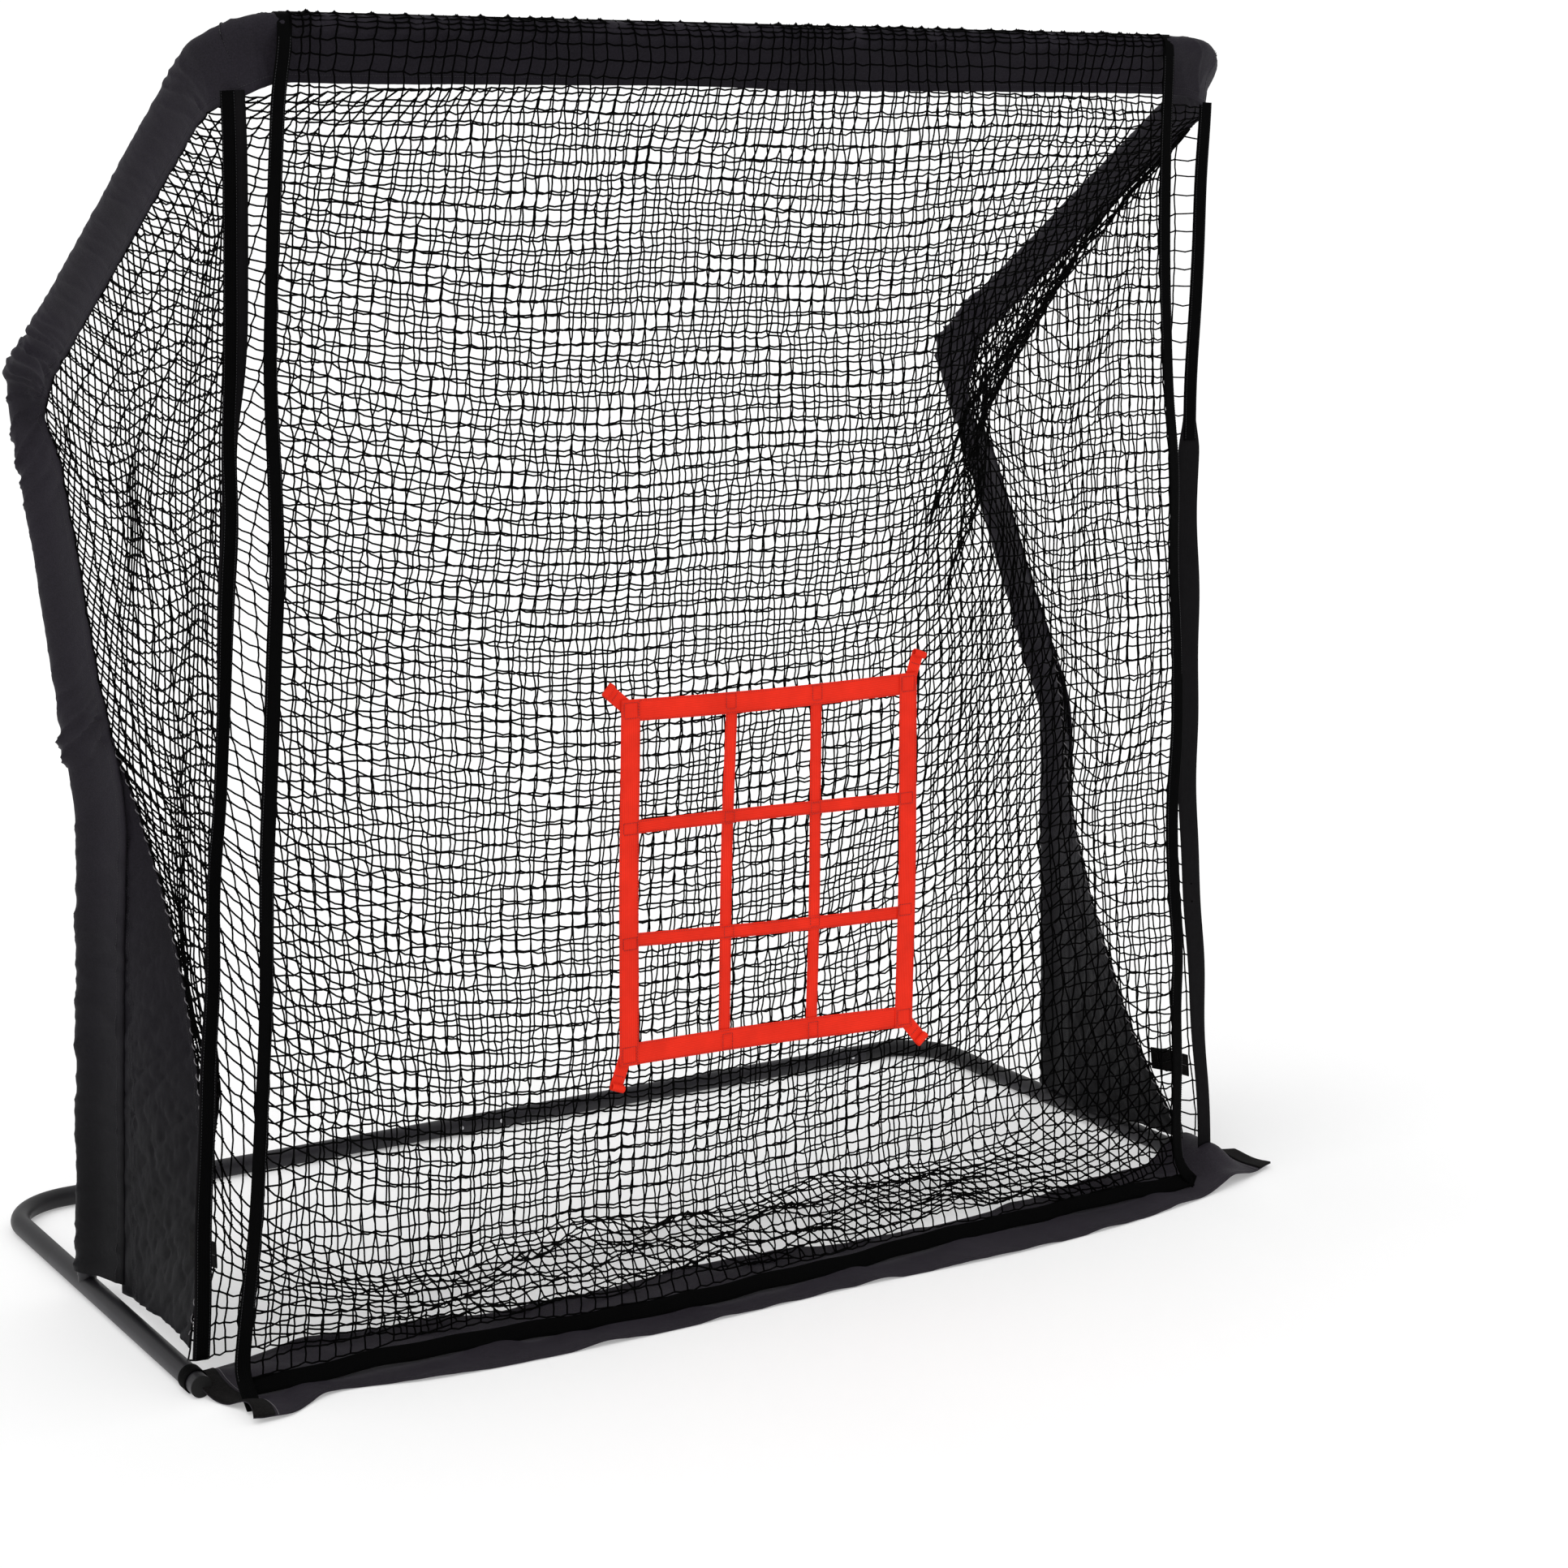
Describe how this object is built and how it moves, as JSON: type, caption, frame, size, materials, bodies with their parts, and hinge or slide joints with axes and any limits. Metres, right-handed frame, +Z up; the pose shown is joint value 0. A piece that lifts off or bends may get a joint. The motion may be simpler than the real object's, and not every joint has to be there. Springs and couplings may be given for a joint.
{
  "type": "pitching target net",
  "caption": "Free-standing tubular frame with a square-mesh catch net, and a hanging front net that carries a nine-cell strike zone.",
  "frame": {"origin": "on the floor, midway between the front ends of the two side legs", "axes": "+Z up, +Y to the back of the net, +X to the thrower's right"},
  "size_m": [2.246, 1.1805, 2.2318],
  "materials": {
    "steel_tube": "satin black powder coat",
    "spring_steel": "zinc plated",
    "cap_plastic": "matt moulded",
    "black_cloth": "coated woven polyester",
    "skirt_cloth": "coated woven polyester",
    "net_cord": "knotted polyester cord",
    "black_webbing": "woven webbing",
    "hook_loop": "hook-and-loop pile",
    "red_webbing": "woven webbing"
  },
  "bodies": {
    "frame": {"side_leg_left": "steel_tube", "base_corner_left": "steel_tube", "rear_tube_left": "steel_tube", "lower_post_left": "steel_tube", "knee_tube_left": "steel_tube", "upper_arm_left": "steel_tube", "top_bar_left": "steel_tube", "arm_sleeve_left": "black_cloth", "corner_sleeve_left": "black_cloth", "gusset_left": "black_cloth", "side_net_left": "net_cord", "edge_strap_left": "black_webbing", "side_leg_right": "steel_tube", "base_corner_right": "steel_tube", "rear_tube_right": "steel_tube", "lower_post_right": "steel_tube", "knee_tube_right": "steel_tube", "upper_arm_right": "steel_tube", "top_bar_right": "steel_tube", "arm_sleeve_right": "black_cloth", "corner_sleeve_right": "black_cloth", "gusset_right": "black_cloth", "side_net_right": "net_cord", "edge_strap_right": "black_webbing", "rear_coupler": "steel_tube", "top_coupler": "steel_tube", "leg_caps": "cap_plastic", "top_sleeve": "black_cloth", "back_net": "net_cord", "leg_loops": "black_webbing", "ground_skirt": "skirt_cloth", "skirt_end_bands": "hook_loop"},
    "front_panel": {"front_net": "net_cord", "front_net_hem": "black_webbing", "front_binding_left": "black_webbing", "front_binding_right": "black_webbing", "front_binding_bottom": "black_webbing"},
    "strike_zone": {"strike_zone_frame": "red_webbing", "strike_zone_grid": "red_webbing"},
    "strike_tab_top_left": {"strike_tab_top_left": "red_webbing"},
    "strike_tab_top_right": {"strike_tab_top_right": "red_webbing"},
    "strike_tab_bottom_left": {"strike_tab_bottom_left": "red_webbing"},
    "strike_tab_bottom_right": {"strike_tab_bottom_right": "red_webbing"},
    "tie_tab_left": {"tie_tab_left": "hook_loop"},
    "tie_tab_right": {"tie_tab_right": "hook_loop"},
    "snap_clip_leg_left": {"snap_clip_leg_left": "spring_steel"},
    "snap_clip_rear_left": {"snap_clip_rear_left": "spring_steel"},
    "snap_clip_rear_middle_left": {"snap_clip_rear_middle_left": "spring_steel"},
    "snap_clip_post_foot_left": {"snap_clip_post_foot_left": "spring_steel"},
    "snap_clip_post_top_left": {"snap_clip_post_top_left": "spring_steel"},
    "snap_clip_arm_left": {"snap_clip_arm_left": "spring_steel"},
    "snap_clip_top_left": {"snap_clip_top_left": "spring_steel"},
    "snap_clip_top_middle_left": {"snap_clip_top_middle_left": "spring_steel"},
    "snap_clip_leg_right": {"snap_clip_leg_right": "spring_steel"},
    "snap_clip_rear_right": {"snap_clip_rear_right": "spring_steel"},
    "snap_clip_rear_middle_right": {"snap_clip_rear_middle_right": "spring_steel"},
    "snap_clip_post_foot_right": {"snap_clip_post_foot_right": "spring_steel"},
    "snap_clip_post_top_right": {"snap_clip_post_top_right": "spring_steel"},
    "snap_clip_arm_right": {"snap_clip_arm_right": "spring_steel"},
    "snap_clip_top_right": {"snap_clip_top_right": "spring_steel"},
    "snap_clip_top_middle_right": {"snap_clip_top_middle_right": "spring_steel"}
  },
  "joints": [
    {"name": "front_panel_swing", "type": "hinge", "parent": "frame", "child": "front_panel", "pos_m": [0, -0.043, 2.207], "axis": [1, 0, 0], "range_deg": [-35, 10]},
    {"name": "strike_zone_height", "type": "slide", "parent": "front_panel", "child": "strike_zone", "axis": [0, 0, 1], "range_m": [-0.35, 0.9]},
    {"name": "strike_tab_top_left_fold", "type": "hinge", "parent": "strike_zone", "child": "strike_tab_top_left", "pos_m": [-0.315, -0.0722, 1.053], "axis": [0.6428, 0, 0.766], "range_deg": [0, 85]},
    {"name": "strike_tab_top_right_fold", "type": "hinge", "parent": "strike_zone", "child": "strike_tab_top_right", "pos_m": [0.271, -0.0722, 1.053], "axis": [0.9397, 0, -0.342], "range_deg": [0, 85]},
    {"name": "strike_tab_bottom_left_fold", "type": "hinge", "parent": "strike_zone", "child": "strike_tab_bottom_left", "pos_m": [-0.315, -0.0722, 0.442], "axis": [-0.9397, 0, 0.342], "range_deg": [0, 85]},
    {"name": "strike_tab_bottom_right_fold", "type": "hinge", "parent": "strike_zone", "child": "strike_tab_bottom_right", "pos_m": [0.271, -0.0722, 0.442], "axis": [-0.766, 0, -0.6428], "range_deg": [0, 85]},
    {"name": "tie_tab_left_open", "type": "hinge", "parent": "frame", "child": "tie_tab_left", "pos_m": [-1.009, 0.15, 0.217], "axis": [0, 0, 1], "range_deg": [-95, 0]},
    {"name": "tie_tab_right_open", "type": "hinge", "parent": "frame", "child": "tie_tab_right", "pos_m": [1.009, 0.15, 0.217], "axis": [0, 0, 1], "range_deg": [0, 95]},
    {"name": "press_leg_left", "type": "slide", "parent": "frame", "child": "snap_clip_leg_left", "axis": [-1, 0, 0], "range_m": [0, 0.0045], "stiffness_N_per_m": 4000},
    {"name": "press_rear_left", "type": "slide", "parent": "frame", "child": "snap_clip_rear_left", "axis": [0, 1, 0], "range_m": [0, 0.0045], "stiffness_N_per_m": 4000},
    {"name": "press_rear_middle_left", "type": "slide", "parent": "frame", "child": "snap_clip_rear_middle_left", "axis": [0, 1, 0], "range_m": [0, 0.0045], "stiffness_N_per_m": 4000},
    {"name": "press_post_foot_left", "type": "slide", "parent": "frame", "child": "snap_clip_post_foot_left", "axis": [0, 1, 0], "range_m": [0, 0.0045], "stiffness_N_per_m": 4000},
    {"name": "press_post_top_left", "type": "slide", "parent": "frame", "child": "snap_clip_post_top_left", "axis": [0, 1, 0], "range_m": [0, 0.0045], "stiffness_N_per_m": 4000},
    {"name": "press_arm_left", "type": "slide", "parent": "frame", "child": "snap_clip_arm_left", "axis": [0, 0.5381, 0.8429], "range_m": [0, 0.0045], "stiffness_N_per_m": 4000},
    {"name": "press_top_left", "type": "slide", "parent": "frame", "child": "snap_clip_top_left", "axis": [0, 0, 1], "range_m": [0, 0.0045], "stiffness_N_per_m": 4000},
    {"name": "press_top_middle_left", "type": "slide", "parent": "frame", "child": "snap_clip_top_middle_left", "axis": [0, 0, 1], "range_m": [0, 0.0045], "stiffness_N_per_m": 4000},
    {"name": "press_leg_right", "type": "slide", "parent": "frame", "child": "snap_clip_leg_right", "axis": [-1, 0, 0], "range_m": [0, 0.0045], "stiffness_N_per_m": 4000},
    {"name": "press_rear_right", "type": "slide", "parent": "frame", "child": "snap_clip_rear_right", "axis": [0, 1, 0], "range_m": [0, 0.0045], "stiffness_N_per_m": 4000},
    {"name": "press_rear_middle_right", "type": "slide", "parent": "frame", "child": "snap_clip_rear_middle_right", "axis": [0, 1, 0], "range_m": [0, 0.0045], "stiffness_N_per_m": 4000},
    {"name": "press_post_foot_right", "type": "slide", "parent": "frame", "child": "snap_clip_post_foot_right", "axis": [0, 1, 0], "range_m": [0, 0.0045], "stiffness_N_per_m": 4000},
    {"name": "press_post_top_right", "type": "slide", "parent": "frame", "child": "snap_clip_post_top_right", "axis": [0, 1, 0], "range_m": [0, 0.0045], "stiffness_N_per_m": 4000},
    {"name": "press_arm_right", "type": "slide", "parent": "frame", "child": "snap_clip_arm_right", "axis": [0, 0.5381, 0.8429], "range_m": [0, 0.0045], "stiffness_N_per_m": 4000},
    {"name": "press_top_right", "type": "slide", "parent": "frame", "child": "snap_clip_top_right", "axis": [0, 0, 1], "range_m": [0, 0.0045], "stiffness_N_per_m": 4000},
    {"name": "press_top_middle_right", "type": "slide", "parent": "frame", "child": "snap_clip_top_middle_right", "axis": [0, 0, 1], "range_m": [0, 0.0045], "stiffness_N_per_m": 4000}
  ]
}
